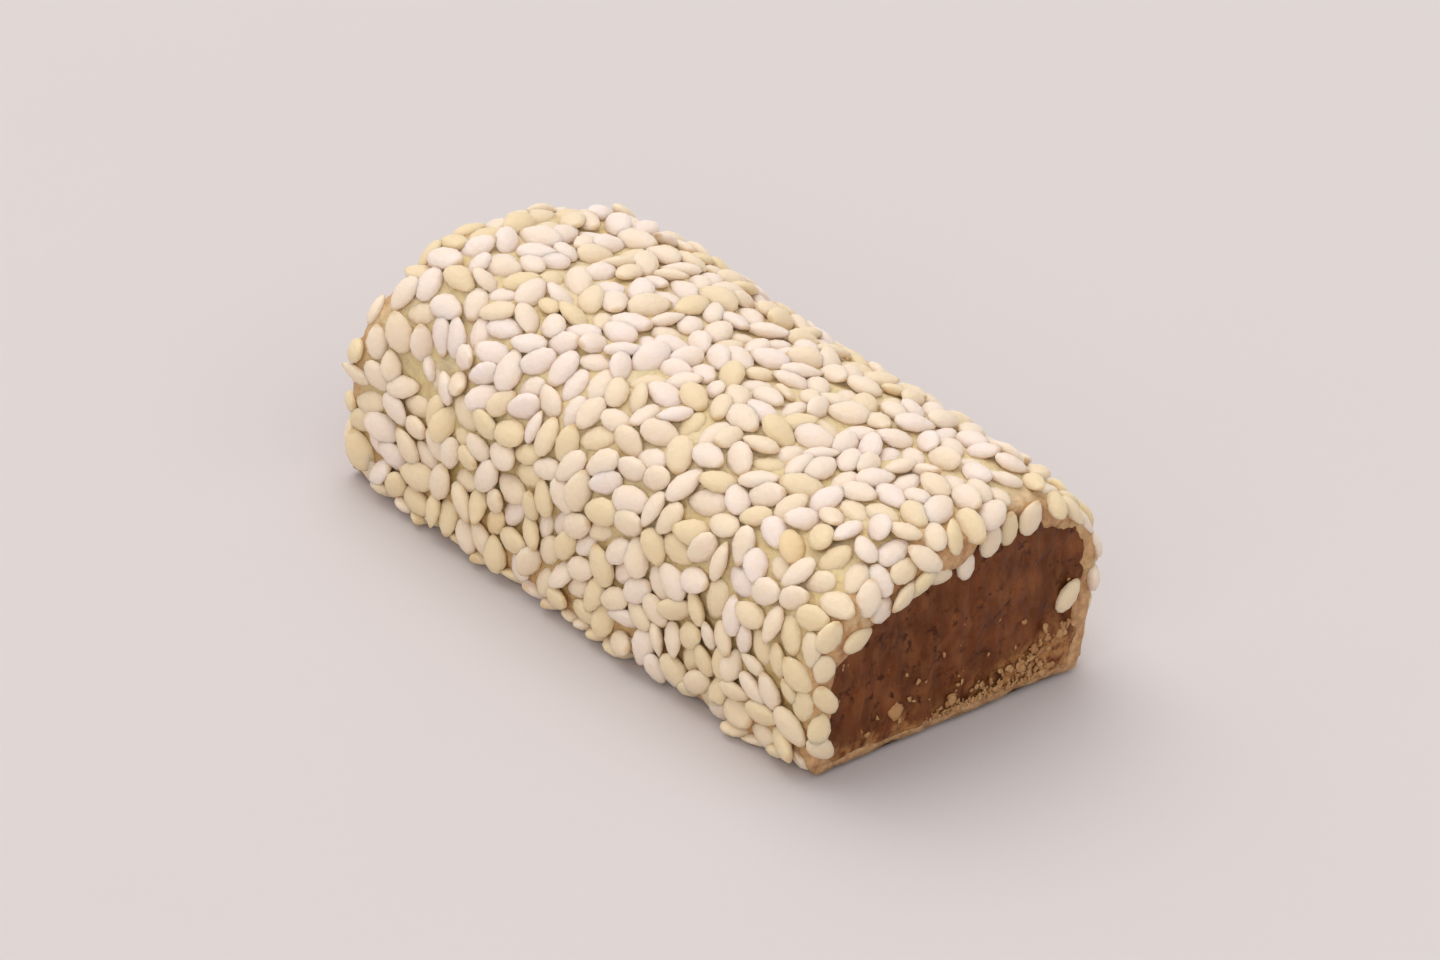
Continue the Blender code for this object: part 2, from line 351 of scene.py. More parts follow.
sesame = {
    "randomSeed": 11,
    "length": 0.00255,
    "width": 0.00174,
    "thickness": 0.00096,
    "sides": 10,
    "rings": 6,
    "taperFrom": 0.12,  # a seed narrows from here behind its middle, as a share of its length
    "taperSpan": 0.62,  # over this share, to its point
    "taperPower": 1.6,
    "sizeSpread": 0.075,
    "sizeLimits": (0.82, 1.18),
    "lowerCount": 770,
    "settleSteps": 420,
    "discPlaces": (-0.28, -0.15, 0.0, 0.15, 0.28),  # five discs stand for a seed
    "discSizes": (0.36, 0.45, 0.48, 0.43, 0.30),
    "pushShare": 0.06,
    "turnArm": 0.25,
    "mostTurn": 0.3,
    "neighbourSteps": 8,
    "neighbourReach": 1.25,
    "upperCount": 100,
    "tries": 20,  # spots tried for each upper seed, of which the lowest is kept
    "gapSpots": 12,  # places looked at for each try, of which the emptiest is taken
    "gapCells": 3,
    "upperSize": (0.84, 1.02),
    "lean": 0.12,
    "upperLean": 0.25,
    "upperRoll": 0.28,
    "steepest": 0.5,
    "sink": 0.0002,  # how far seeds press into each other
    "press": 0.0002,  # how far the coat is pressed into the dough
    "jointDepth": 0.00012,
    "mostRise": 0.00028,
    "blurCells": 3,
    "endFade": 0.0006,
    "footClear": 0.0003,
    "sideDeeper": 0.0001,  # joints are deeper down the sides than on top
    "ceiling": 0.0008,  # highest middle of a seed above the dough
    "startAngle": -0.52,  # from the horizontal, where the coat begins on each side
    "castHeight": 0.42,  # share of the cookie's height at which the angles are taken
    "outlineSteps": 160,
    "pastSolids": (0.0003, 0.00015, 0.0002),  # how far a seed may reach past them
    "floorRoom": 0.00004,
    "undersideCount": 130,
    "undersideInset": (0.0024, 0.0036),
    "undersideSize": 0.93,
    "rimTries": 2500,  # spots tried in what is left bare along the rims
    "rimBand": 0.004,
    "rimAlong": (-0.002, 0.0022),
    "rimApart": 0.0015,
    "rimPress": 0.5,
    "rimSize": 0.92,
    "rimFoot": 0.0022,
    "strayLift": 0.25,
    "straySize": 0.97,
    "hangApart": 0.0014,  # room that the seeds hanging from the lip get
    "hangLift": 0.35,
    "hangSize": 0.95,
    "toneSpread": (1.0, 0.9),
    "toasted": 0.01,
    "rimGolden": 0.3,  # seeds take more colour near the cuts
    "rimGoldenFrom": 0.0035,
    "rimGoldenOver": 0.0025,
    "footGoldAndShade": 0.42,  # and down the sides, partly baking colour and partly painted shade
    "patchGolden": 0.5,  # and in soft patches, as the oven's heat was uneven
    "patchSize": 0.006,
}

seedShapes = [  # share of the width left at the point, sideways bend, thickness at the point
    (0.54, 0.02, 0.8),
    (0.64, -0.035, 0.88),
    (0.76, 0.0, 0.95),
    (0.60, 0.05, 0.78),
]

coatMap = {
    "cell": 0.00012,
    "margin": 0.0025,
    "seedReach": 0.002,
}

cutEdge = {
    "back": 0.0005,  # where the coat starts to curl over, from the dough's end
    "radius": 0.0008,
    "unsure": 0.0014,  # the ragged dough may end as far back as this
    "ceiling": 0.00042,
    "overhang": 0.0013,  # how far the coat goes on round the curl
    "topOverhang": 0.0009,
    "moreOverhang": 0.0008,  # more where the knife came down, less on the other side
    "ragged": 0.0003,
    "bare": 0.0010,  # toasted dough left bare on the shoulder where the knife came out
    "bareAngle": 0.8,
    "bareSpread": 2.5,
    "faceOut": 1.5,  # how strongly seeds on the curl turn to the cut
    "beyond": 0.0022,  # the flat map goes on past the cut, where the knife took seeds away
}

coatEdge = doughEnd - cutEdge["back"]  # the coat lies flat up to here

straySeeds = [  # side, across, up, turn, lean
    (1, 0.0092, 0.0062, 0.9, 0.1),
    (-1, 0.0090, 0.0078, 1.2, 0.1),
    (-1, 0.0084, 0.0034, 2.8, -0.1),
    (-1, -0.0034, 0.0121, 1.4, 0.2),
]

hangingSeeds = [  # side, across, below the dough's edge, turn, lean
    (1, -0.0004, 0.0002, 1.75, 0.2),
    (1, 0.0016, 0.0006, 1.4, -0.1),
    (1, 0.0034, 0.0009, 1.62, 0.15),
    (1, 0.0051, 0.0004, 1.25, -0.2),
    (-1, -0.0012, 0.0005, 1.5, 0.1),
    (-1, 0.0026, 0.0003, 1.8, -0.1),
]


def makeOneSeed(s, tipWidth, bend, tipDepth):
    # a plump flat teardrop, round at one end and narrower at the other
    lying = (math.pi / 2, 0, math.pi / 2)  # poles along X
    bpy.ops.mesh.primitive_uv_sphere_add(
        segments=s["sides"], ring_count=s["rings"], radius=0.5, rotation=lying)
    seed = bpy.context.object
    seed.name = "oneSeed"
    bpy.ops.object.transform_apply()
    startEdit(seed)
    stations = sorted({round(vertex.co.x, 4) for vertex in bmesh.from_edit_mesh(seed.data).verts})
    for x in stations:
        pick(seed, "VERT", lambda vertex: abs(vertex.co.x - x) < 0.01)
        along = max(0.0, (x + s["taperFrom"]) / s["taperSpan"]) ** s["taperPower"]
        slim = 1 - (1 - tipWidth) * along
        flat = 1 - (1 - tipDepth) * along
        bpy.ops.transform.resize(value=(1, slim, slim * flat), center_override=(x, 0, 0))
        bpy.ops.transform.translate(value=(0, bend * (1 - 4 * x * x), 0))
    bpy.ops.mesh.select_all(action="SELECT")
    bpy.ops.transform.resize(
        value=(s["length"], s["width"], s["thickness"]), center_override=(0, 0, 0))
    endEdit()
    return seed


def settle(count, low, high, s, rng):
    # seeds on a flat map push each other apart until they lie side by side
    low, high = np.array(low), np.array(high)
    place = rng.uniform(low, high, (count, 2))
    turn = rng.uniform(0, 2 * math.pi, count)
    size = np.clip(rng.normal(1, s["sizeSpread"], count), *s["sizeLimits"])
    along = np.array(s["discPlaces"]) * s["length"]
    radius = np.array(s["discSizes"]) * s["width"]
    reach = np.outer(size, radius)
    for step in range(s["settleSteps"]):
        if step % s["neighbourSteps"] == 0:
            apart = place[:, None, :] - place[None, :, :]
            near = (apart ** 2).sum(2) < (s["neighbourReach"] * s["length"]) ** 2
            first, second = np.nonzero(np.triu(near, 1))
        axis = np.stack([np.cos(turn), np.sin(turn)], 1)
        arm = (size[:, None] * along[None, :])[:, :, None] * axis[:, None, :]
        discs = place[:, None, :] + arm
        gap = discs[first][:, :, None, :] - discs[second][:, None, :, :]
        distance = np.sqrt((gap ** 2).sum(3)) + 1e-9
        overlap = np.maximum(0, reach[first][:, :, None] + reach[second][:, None, :] - distance)
        push = gap / distance[..., None] * overlap[..., None] * s["pushShare"]
        move = np.zeros((count, 2))
        twist = np.zeros(count)
        for which, pushes in ((first, push.sum(2)), (second, -push.sum(1))):
            arms = arm[which]
            turning = arms[:, :, 0] * pushes[:, :, 1] - arms[:, :, 1] * pushes[:, :, 0]
            np.add.at(move, which, pushes.sum(1))
            np.add.at(twist, which, turning.sum(1))
        place = np.clip(place + move, low, high)
        turn += np.clip(twist / (s["turnArm"] * s["length"]) ** 2, -s["mostTurn"], s["mostTurn"])
    return place, turn, size


def startMap(reachX, around, s):
    # heights above the dough, over a flat map of it
    low = np.array([-reachX - s["margin"], -s["margin"]])
    cells = ((np.array([reachX, around]) + s["margin"] - low) / s["cell"]).astype(int) + 1
    span = np.arange(-s["seedReach"], s["seedReach"], s["cell"])
    offsets = np.stack(np.meshgrid(span, span, indexing="ij"), -1).reshape(-1, 2)
    return {"low": low, "height": np.zeros(cells), "cell": s["cell"], "offsets": offsets}


def restOnMap(field, place, turn, roll, size, jitter, s):
    # how high and how steep a seed comes to lie on what is under it
    half = s["width"] / 2
    thin = s["thickness"] / 2
    width = math.hypot(half * math.cos(roll), thin * math.sin(roll)) * size
    depth = math.hypot(half * math.sin(roll), thin * math.cos(roll)) * size
    length = s["length"] * size / 2
    offsets = field["offsets"]
    u = offsets[:, 0] * math.cos(turn) + offsets[:, 1] * math.sin(turn)
    v = offsets[:, 1] * math.cos(turn) - offsets[:, 0] * math.sin(turn)
    inside = 1 - (u / length) ** 2 - (v / width) ** 2
    under = inside > 0
    offsets = offsets[under]
    bulge = depth * np.sqrt(inside[under])
    cells = np.rint((place + offsets - field["low"]) / field["cell"]).astype(int)
    cells = np.clip(cells, 0, np.array(field["height"].shape) - 1)
    below = field["height"][cells[:, 0], cells[:, 1]]
    slope = np.linalg.solve(offsets.T @ offsets, offsets.T @ (below - below.mean()))
    slope = np.clip(slope + jitter, -s["steepest"], s["steepest"])
    plane = offsets @ slope
    middle = (below - plane + bulge).max() - s["sink"]
    return middle, slope, cells, plane + bulge


def laySeed(field, rest, s):
    middle, slope, cells, top = rest
    middle = min(middle, s["ceiling"])
    spots = (cells[:, 0], cells[:, 1])
    field["height"][spots] = np.maximum(field["height"][spots], middle + top)
    return middle, slope


def layCoat(reachX, around, s, rng):
    # map place, turn, roll, size, height and lean of every seed
    field = startMap(reachX, around, coatMap)
    laid = []
    low, high = (-reachX, 0), (reachX, around)
    place, turn, size = settle(s["lowerCount"], low, high, s, rng)
    for index in range(s["lowerCount"]):
        roll = rng.normal(0, s["lean"])
        jitter = rng.normal(0, s["lean"], 2)
        rest = restOnMap(field, place[index], turn[index], roll, size[index], jitter, s)
        laid.append((place[index], turn[index], roll, size[index], *laySeed(field, rest, s)))
    for index in range(s["upperCount"]):
        choices = [findGap(field, low, high, s, rng) for attempt in range(s["tries"])]
        rest, spot, angle, roll, scale = min(choices, key=lambda choice: choice[0][0])
        if rest[0] < s["ceiling"]:
            laid.append((spot, angle, roll, scale, *laySeed(field, rest, s)))
    return laid, field


def findGap(field, low, high, s, rng):
    # the emptiest of some spots, with a seed that may stand on its edge
    spots = rng.uniform(low, high, (s["gapSpots"], 2))
    cells = ((spots - field["low"]) / field["cell"]).astype(int)
    n = s["gapCells"]
    filled = [field["height"][a - n:a + n + 1, b - n:b + n + 1].mean() for a, b in cells]
    spot = spots[int(np.argmin(filled))]
    angle = rng.uniform(0, 2 * math.pi)
    roll = rng.normal(0, s["upperRoll"])
    scale = rng.uniform(*s["upperSize"])
    jitter = rng.normal(0, s["upperLean"], 2)
    return restOnMap(field, spot, angle, roll, scale, jitter, s), spot, angle, roll, scale


def makeTree(piece):
    corners = [vertex.co.copy() for vertex in piece.data.vertices]
    return BVHTree.FromPolygons(corners, [face.vertices for face in piece.data.polygons])


def sectionOutline(tree, s):
    # the outline at mid length: angle round the bar against length along it
    centre = crustHigh.z * s["castHeight"]
    angles = np.linspace(math.pi - s["startAngle"], s["startAngle"], s["outlineSteps"])
    points = [castOn(tree, 0, angle, centre)[0] for angle in angles]
    steps = [0.0] + [(b - a).length for a, b in zip(points, points[1:])]
    return angles, np.cumsum(steps), centre


def castOn(tree, x, angle, height, far=0.04, near=0.01):
    # from outside straight in towards the middle of the bar
    away = Vector((0, math.cos(angle), math.sin(angle)))
    start = Vector((x, 0, height)) + away * far
    hit = tree.ray_cast(start, -away, far)
    if hit[0] is None:
        hit = tree.find_nearest(start - away * (far - near))
    return hit[:2]


def softNormal(tree, point, reach=0.0009):
    # the mean of the normals at a point and around it
    total = Vector()
    for step in ((0, 0, 0), (1, 0, 0), (-1, 0, 0), (0, 1, 0), (0, -1, 0), (0, 0, 1), (0, 0, -1)):
        near, normal = tree.find_nearest(point + Vector(step) * reach)[:2]
        if normal is not None and (near - point).length < 2 * reach:
            total += normal
    return total.normalized() if total.length > 0.1 else Vector((0, 0, 1))


def seedPose(point, normal, turn, roll, size, slope=(0, 0)):
    # columns are length, width and thickness, and slope leans the seed out of the surface
    start = Vector((1, 0, 0)) if abs(normal.x) < 0.8 else Vector((0, 1, 0))
    first = (start - normal * start.dot(normal)).normalized()
    basis = Matrix((first, normal.cross(first), normal)).transposed()
    up = Vector((-slope[0], -slope[1], 1)).normalized()
    along = Vector((math.cos(turn), math.sin(turn), 0))
    along = (along - up * along.dot(up)).normalized()
    lie = Matrix((along, up.cross(along), up)).transposed() @ Matrix.Rotation(roll, 3, "X")
    return np.array(basis @ lie) * size, np.array(point)


def keepInside(pose, s):
    # a seed that would reach past the solids is pushed in
    spin, point = pose
    half = np.array([s["length"], s["width"], s["thickness"]]) / 2
    reach = np.sqrt(((spin * half) ** 2).sum(1))
    past = s["pastSolids"]
    low = np.array([cadLow.x - past[0], cadLow.y - past[1], s["floorRoom"]])
    high = np.array(cadHigh) + past
    return spin, np.minimum(np.maximum(point, low + reach), high - reach)


def castOnCoat(tree, x, angle, height):
    # the dough's surface, and past its end a curl round the cut edge
    side = math.copysign(1, x)
    away = abs(x)
    sure = coatEdge - cutEdge["unsure"]
    point, normal = castOn(tree, side * min(away, sure), angle, height)
    normal = softNormal(tree, point)
    if away <= sure:
        return point, normal
    normal = (normal - Vector((normal.x, 0, 0))).normalized()
    bend = min(max(0.0, away - coatEdge) / cutEdge["radius"], math.pi / 2)
    inward = max(0.0, away - coatEdge - cutEdge["radius"] * math.pi / 2)
    curled = normal * math.cos(bend) + Vector((side * math.sin(bend), 0, 0))
    guess = point + (curled - normal) * cutEdge["radius"] - normal * inward
    guess.x += side * (min(away, coatEdge) - sure)
    near = tree.find_nearest(guess)[0]
    return near, (softNormal(tree, near) + curled * cutEdge["faceOut"]).normalized()


def isCutOff(x, angle, s, rng):
    # true where the knife took the coat away
    more = s["moreOverhang"] * -math.cos(angle) * math.copysign(1, x)
    more += s["topOverhang"] * max(0, math.sin(angle))
    bareAt = s["bareAngle"] if x > 0 else math.pi - s["bareAngle"]
    more -= s["bare"] * max(0.0, math.cos((angle - bareAt) * s["bareSpread"]))
    return abs(x) > coatEdge + s["overhang"] + more + rng.uniform(-1, 1) * s["ragged"]


def coatPoses(wrap, s, rng):
    tree = makeTree(wrap)
    angles, outline, height = sectionOutline(tree, s)
    laid, field = layCoat(coatEdge + cutEdge["beyond"], outline[-1], s, rng)
    hanging = hangingPoses(tree, s)
    hungAt = [point for spin, point in hanging]
    poses = []
    for place, turn, roll, size, middle, slope in laid:
        angle = np.interp(place[1], outline, angles)
        if isCutOff(place[0], angle, cutEdge, rng):
            continue
        if abs(place[0]) > doughEnd - cutEdge["unsure"]:
            middle = min(middle, cutEdge["ceiling"])
        point, normal = castOnCoat(tree, place[0], angle, height)
        if point.z < s["rimFoot"] and abs(place[0]) > coatEdge:
            continue
        centre = point + normal * (middle - s["press"])
        if isClear(centre, hungAt, s["hangApart"]):
            poses.append(seedPose(centre, normal, turn, roll, size, slope))
    poses += hanging
    poses += rimPoses(tree, poses, angles, height, s, rng)
    fillJoints(wrap, field, angles, outline, height, s)
    return poses


def isClear(centre, taken, apart):
    return np.linalg.norm(np.array(taken) - np.array(centre), axis=1).min() > apart


def rimPoses(tree, laid, angles, height, s, rng):
    # seeds for what the flat map leaves bare on the pulled edge
    taken = [point for spin, point in laid if abs(point[0]) > doughEnd - s["rimBand"]]
    poses = []
    for attempt in range(s["rimTries"]):
        x = rng.choice((-1, 1)) * (doughEnd + rng.uniform(*s["rimAlong"]))
        angle = rng.uniform(angles[-1], angles[0])
        turn, roll = rng.uniform(0, 2 * math.pi), rng.normal(0, s["lean"])
        point, normal = castOnCoat(tree, x, angle, height)
        if isCutOff(x, angle, cutEdge, rng) or point.z < s["rimFoot"]:
            continue
        centre = point + normal * (s["thickness"] / 2 - s["sink"] - s["press"] * s["rimPress"])
        if isClear(centre, taken, s["rimApart"]):
            taken.append(np.array(centre))
            poses.append(seedPose(centre, normal, turn, roll, s["rimSize"]))
    return poses


def fillJoints(wrap, field, angles, outline, height, s):
    # the dough squeezes up between the seeds, so that the joints are shallow
    level = field["height"]
    n = s["blurCells"]
    for axis in (0, 1, 0, 1):
        level = sum(np.roll(level, shift, axis) for shift in range(-n, n + 1)) / (2 * n + 1)
    rise = level - s["press"] - s["jointDepth"]
    points, normals = readVectors(wrap.data, "co"), readVectors(wrap.data, "normal")
    angle = np.arctan2(points[:, 2] - height, points[:, 1])
    angle = np.where(angle < -math.pi / 2, angle + 2 * math.pi, angle)
    around = np.interp(-angle, -angles, outline)
    cells = ((np.stack([points[:, 0], around], 1) - field["low"]) / field["cell"]).astype(int)
    cells = np.clip(cells, 0, np.array(level.shape) - 1)
    outward = normals[:, 1] * np.cos(angle) + normals[:, 2] * np.sin(angle)
    fade = np.clip((doughEnd - np.abs(points[:, 0])) / s["endFade"], 0, 1)
    fade = fade * np.clip(outward * 2 - 0.4, 0, 1)  # none inside the sleeve or under it
    fade = fade * (points[:, 2] > doughWrap["underside"] + s["footClear"])
    deeper = s["sideDeeper"] * (1 - np.clip(np.sin(angle), 0, 1))
    rise = np.clip(rise[cells[:, 0], cells[:, 1]], 0, s["mostRise"]) - deeper
    points += normals * (rise * fade)[:, None]
    wrap.data.vertices.foreach_set("co", points.ravel())
    wrap.data.update()


def undersidePoses(s, rng):
    # pressed flat by the cookie's weight
    reach = (crustHigh.x - s["undersideInset"][0], crustHigh.y - s["undersideInset"][1])
    place, turn, size = settle(s["undersideCount"], (-reach[0], -reach[1]), reach, s, rng)
    lift = s["thickness"] / 2
    down = Vector((0, 0, -1))
    return [
        seedPose(Vector((x, y, lift)), down, angle, 0, s["undersideSize"] * scale)
        for (x, y), angle, scale in zip(place, turn, size)]


def strayPoses(s):
    poses = []
    for side, across, up, turn, lean in straySeeds:
        point = Vector((side * (cutFace + s["thickness"] * s["strayLift"]), across, up))
        poses.append(seedPose(point, Vector((side, 0, 0)), turn, lean, s["straySize"]))
    return poses


def hangingPoses(tree, s):
    # seeds that stick to the lower edge of the dough and hang over the dates
    poses = []
    up = Vector((0, 0, 1))
    for side, across, below, turn, lean in hangingSeeds:
        x = doughEnd
        edge = None
        while edge is None:  # looks for the ragged edge from the end inwards
            edge = tree.ray_cast(Vector((side * x, across, dateHigh.z / 2)), up, 0.01)[0]
            x -= 0.0001
        point = edge + Vector((side * s["thickness"] * s["hangLift"], 0, -below))
        poses.append(seedPose(point, Vector((side, 0, 0)), turn, lean, s["hangSize"]))
    return poses


def joinCopies(name, sources, poses, tones):
    # one mesh of many copies, with each one's tone and the place along it
    points, faces, toneOf, alongOf = [], [], [], []
    start = 0
    for index, (spin, point) in enumerate(poses):
        source = sources[index % len(sources)]
        single = np.array([vertex.co[:] for vertex in source.data.vertices])
        points.append(single @ spin.T + point)
        faces += [[corner + start for corner in face.vertices] for face in source.data.polygons]
        toneOf.append(np.full(len(single), tones[index]))
        alongOf.append((single[:, 0] - single[:, 0].min()) / np.ptp(single[:, 0]))
        start += len(single)
    mesh = bpy.data.meshes.new(name)
    mesh.from_pydata(np.concatenate(points).tolist(), [], faces)
    for label, values in (("tone", toneOf), ("alongSeed", alongOf)):
        attribute = mesh.attributes.new(label, "FLOAT", "POINT")
        attribute.data.foreach_set("value", np.concatenate(values))
    mesh.update()
    piece = bpy.data.objects.new(name, mesh)
    bpy.context.scene.collection.objects.link(piece)
    makeActive(piece)
    bpy.ops.object.shade_smooth()
    for source in sources:
        bpy.data.objects.remove(source)
    return piece


def makeSeeds(wrap, s):
    rng = np.random.default_rng(s["randomSeed"])
    poses = coatPoses(wrap, s, rng) + undersidePoses(s, rng) + strayPoses(s)
    poses = [keepInside(pose, s) for pose in poses]
    tones = rng.beta(*s["toneSpread"], len(poses))
    toasted = rng.uniform(0, 1, len(poses)) < s["toasted"]
    points = np.array([point for spin, point in poses])
    nearEnd = np.abs(points[:, 0]) - (crustHigh.x - s["rimGoldenFrom"])
    down = 1 - points[:, 2] / cadHigh.z
    patches = np.array([noise.noise(Vector(point) / s["patchSize"]) for point in points])
    baked = tones - s["rimGolden"] * np.clip(nearEnd / s["rimGoldenOver"], 0, 1)
    # seeds lower down are more golden: partly baked colour, partly painted shade
    baked = baked - s["footGoldAndShade"] * np.clip(down, 0, 1) + s["patchGolden"] * patches
    tones = np.where(toasted, -1 + 0.5 * tones, np.clip(baked, 0, 1))
    shapes = [makeOneSeed(s, *shape) for shape in seedShapes]
    return joinCopies("sesameSeeds", shapes, poses, tones)


# Crumbs that the knife dragged along the lower edge of the cuts

crumbs = {
    "randomSeed": 5,
    "count": 330,  # at each end
    "shapes": 4,
    "sides": 8,
    "rings": 6,
    "chips": 5,  # flats broken off each shape
    "chipSpread": 0.75,
    "chipDepth": 0.3,
    "size": 0.00013,
    "sizeSpread": 0.5,
    "sizeLimits": (0.4, 2.4),
    "stretch": (0.6, 1.5),
    "flat": 0.5,  # pressed into the cut
    "proud": 0.1,
    "lumpSize": 0.7,
    "lumpHeight": 0.9,
    "from": -0.0045,  # across the cut, at the side where the knife left it
    "to": 0.0098,
    "drift": (2.2, 1.0),  # most lie near the far end of that
    "start": -0.0008,
    "rise": 0.0032,
    "foot": 0.0004,
    "loose": 0.14,  # share that lies anywhere on the lower half
    "looseRise": 0.006,
}

largeCrumbs = [  # side, across, up, size
    (1, -0.0047, 0.0027, 0.00048),
    (1, 0.0078, 0.0042, 0.00036),
    (-1, 0.0062, 0.0023, 0.0004),
]


def makeOneCrumb(s, seedNumber):
    bpy.ops.mesh.primitive_uv_sphere_add(segments=s["sides"], ring_count=s["rings"], radius=1)
    crumb = bpy.context.object
    crumb.name = "oneCrumb"
    startEdit(crumb)
    for facing in np.random.default_rng(seedNumber).normal(0, 1, (s["chips"], 3)):
        direction = Vector(facing).normalized()
        pick(crumb, "VERT", lambda vertex: vertex.co.normalized().dot(direction) > s["chipSpread"])
        bpy.ops.transform.translate(value=direction * -s["chipDepth"])
    endEdit()
    applyLumps(crumb, s["lumpSize"], s["lumpHeight"])
    return crumb


def crumbSpot(side, s, rng):
    # most lie in a drift that rises towards one side of the cut
    if rng.uniform() < s["loose"]:
        return rng.uniform(dateLow.y, dateHigh.y), dateLow.z + rng.uniform() ** 2 * s["looseRise"]
    share = rng.beta(*s["drift"])
    up = dateLow.z + s["start"] + rng.uniform() ** 1.5 * (s["foot"] + s["rise"] * share ** 2)
    return side * (s["from"] + share * (s["to"] - s["from"])), up


def makeCrumbs(s):
    rng = np.random.default_rng(s["randomSeed"])
    spots = list(largeCrumbs)
    for side in (1, -1):
        for index in range(s["count"]):
            size = s["size"] * float(np.clip(rng.lognormal(0, s["sizeSpread"]), *s["sizeLimits"]))
            spots.append((side, *crumbSpot(side, s, rng), size))
    poses = []
    for side, across, up, size in spots:
        spin = np.array(Matrix.Rotation(rng.uniform(0, 6.28), 3, Vector(rng.normal(0, 1, 3))))
        stretch = np.diag(rng.uniform(*s["stretch"], 3))
        pressed = np.diag((s["flat"], 1, 1))
        point = np.array((side * (cutFace + s["proud"] * size), across, up))
        poses.append((pressed @ spin @ stretch * size, point))
    shapes = [makeOneCrumb(s, number) for number in range(s["shapes"])]
    return joinCopies("doughCrumbs", shapes, poses, rng.uniform(0, 1, len(poses)))


# Materials

nodeRow = {"start": -5000, "step": 250}  # nodes stand side by side, left of the shader


def addNode(tree, kind, **settings):
    node = tree.nodes.new("ShaderNode" + kind)
    node.location.x = nodeRow["start"] + nodeRow["step"] * len(tree.nodes)
    for name, value in settings.items():
        setattr(node, name, value)
    return node


def setInputs(node, **values):
    # an underscore here can stand for the space in a socket's name
    for name, value in values.items():
        node.inputs[name.replace("_", " ")].default_value = value


def link(tree, *pairs):
    for first, second in pairs:
        tree.links.new(first, second)


def addMath(tree, operation, first, second):
    node = addNode(tree, "Math", operation=operation)
    for index, value in enumerate((first, second)):
        if isinstance(value, (int, float)):
            node.inputs[index].default_value = value
        else:
            link(tree, (value, node.inputs[index]))
    return node.outputs["Value"]


def startGroup(name, values, output):
    # a group over Coordinates, with more inputs and one output that are all numbers
    group = bpy.data.node_groups.new(name, "ShaderNodeTree")
    group.interface.new_socket("Coordinates", in_out="INPUT", socket_type="NodeSocketVector")
    for label in values:
        group.interface.new_socket(label, in_out="INPUT", socket_type="NodeSocketFloat")
    group.interface.new_socket(output, in_out="OUTPUT", socket_type="NodeSocketFloat")
    entry = group.nodes.new("NodeGroupInput")
    leave = group.nodes.new("NodeGroupOutput")
    entry.location.x = nodeRow["start"]
    return group, entry.outputs, leave.inputs[output]


def makeMottleGroup():
    # a soft patchy mask from 0 to 1
    group, entry, mask = startGroup("mottle", ("Scale", "Low", "High"), "Mask")
    clouds = addNode(group, "TexNoise")
    setInputs(clouds, Detail=5, Roughness=0.6)
    spread = addNode(group, "MapRange")
    link(
        group,
        (entry["Coordinates"], clouds.inputs["Vector"]),
        (entry["Scale"], clouds.inputs["Scale"]),
        (clouds.outputs["Fac"], spread.inputs["Value"]),
        (entry["Low"], spread.inputs["From Min"]),
        (entry["High"], spread.inputs["From Max"]),
        (spread.outputs["Result"], mask))
    return group


def makeGrainGroup():
    # fine crumb: small bumps with open pores, as a height
    group, entry, height = startGroup("crumbGrain", ("Scale", "Pores"), "Height")
    bumps = addNode(group, "TexNoise")
    setInputs(bumps, Detail=6, Roughness=0.65)
    pores = addNode(group, "TexVoronoi")
    for node in (bumps, pores):
        link(group, (entry["Coordinates"], node.inputs["Vector"]))
        link(group, (entry["Scale"], node.inputs["Scale"]))
    depth = addMath(group, "MULTIPLY", pores.outputs["Distance"], entry["Pores"])
    link(group, (addMath(group, "ADD", bumps.outputs["Fac"], depth), height))
    return group


mottleGroup = makeMottleGroup()
grainGroup = makeGrainGroup()


def startMaterial(name, s):
    material = bpy.data.materials.new(name)
    material.use_nodes = True
    tree = material.node_tree
    shader = tree.nodes["Principled BSDF"]
    setInputs(shader, **s["shader"])
    place = addNode(tree, "TexCoord")
    return material, tree, shader, place.outputs["Object"]


def addMottle(tree, coordinates, scale, low, high):
    node = addNode(tree, "Group", node_tree=mottleGroup)
    setInputs(node, Scale=scale, Low=low, High=high)
    link(tree, (coordinates, node.inputs["Coordinates"]))
    return node.outputs["Mask"]


def colourAndGrain(tree, shader, colour, coordinates, scale, pores, strength, distance):
    # gives the shader its colour, and fine bumps
    node = addNode(tree, "Group", node_tree=grainGroup)
    setInputs(node, Scale=scale, Pores=pores)
    bump = addNode(tree, "Bump")
    setInputs(bump, Strength=strength, Distance=distance)
    link(
        tree,
        (colour, shader.inputs["Base Color"]),
        (coordinates, node.inputs["Coordinates"]),
        (node.outputs["Height"], bump.inputs["Height"]),
        (bump.outputs["Normal"], shader.inputs["Normal"]))


def addMix(tree, mask, first, second):
    # first and second are colours or sockets
    node = addNode(tree, "Mix", data_type="RGBA")
    link(tree, (mask, node.inputs["Factor"]))
    for label, value in (("A", first), ("B", second)):
        socket = next(s for s in node.inputs if s.name == label and s.type == "RGBA")
        if isinstance(value, tuple):
            socket.default_value = (*value, 1.0)
        else:
            link(tree, (value, socket))
    return next(s for s in node.outputs if s.type == "RGBA")


def addRange(tree, value, fromLow, fromHigh, toLow=0.0, toHigh=1.0):
    node = addNode(tree, "MapRange")
    setInputs(node, From_Min=fromLow, From_Max=fromHigh, To_Min=toLow, To_Max=toHigh)
    link(tree, (value, node.inputs["Value"]))
    return node.outputs["Result"]


def addAttribute(tree, name):
    return addNode(tree, "Attribute", attribute_name=name).outputs["Fac"]


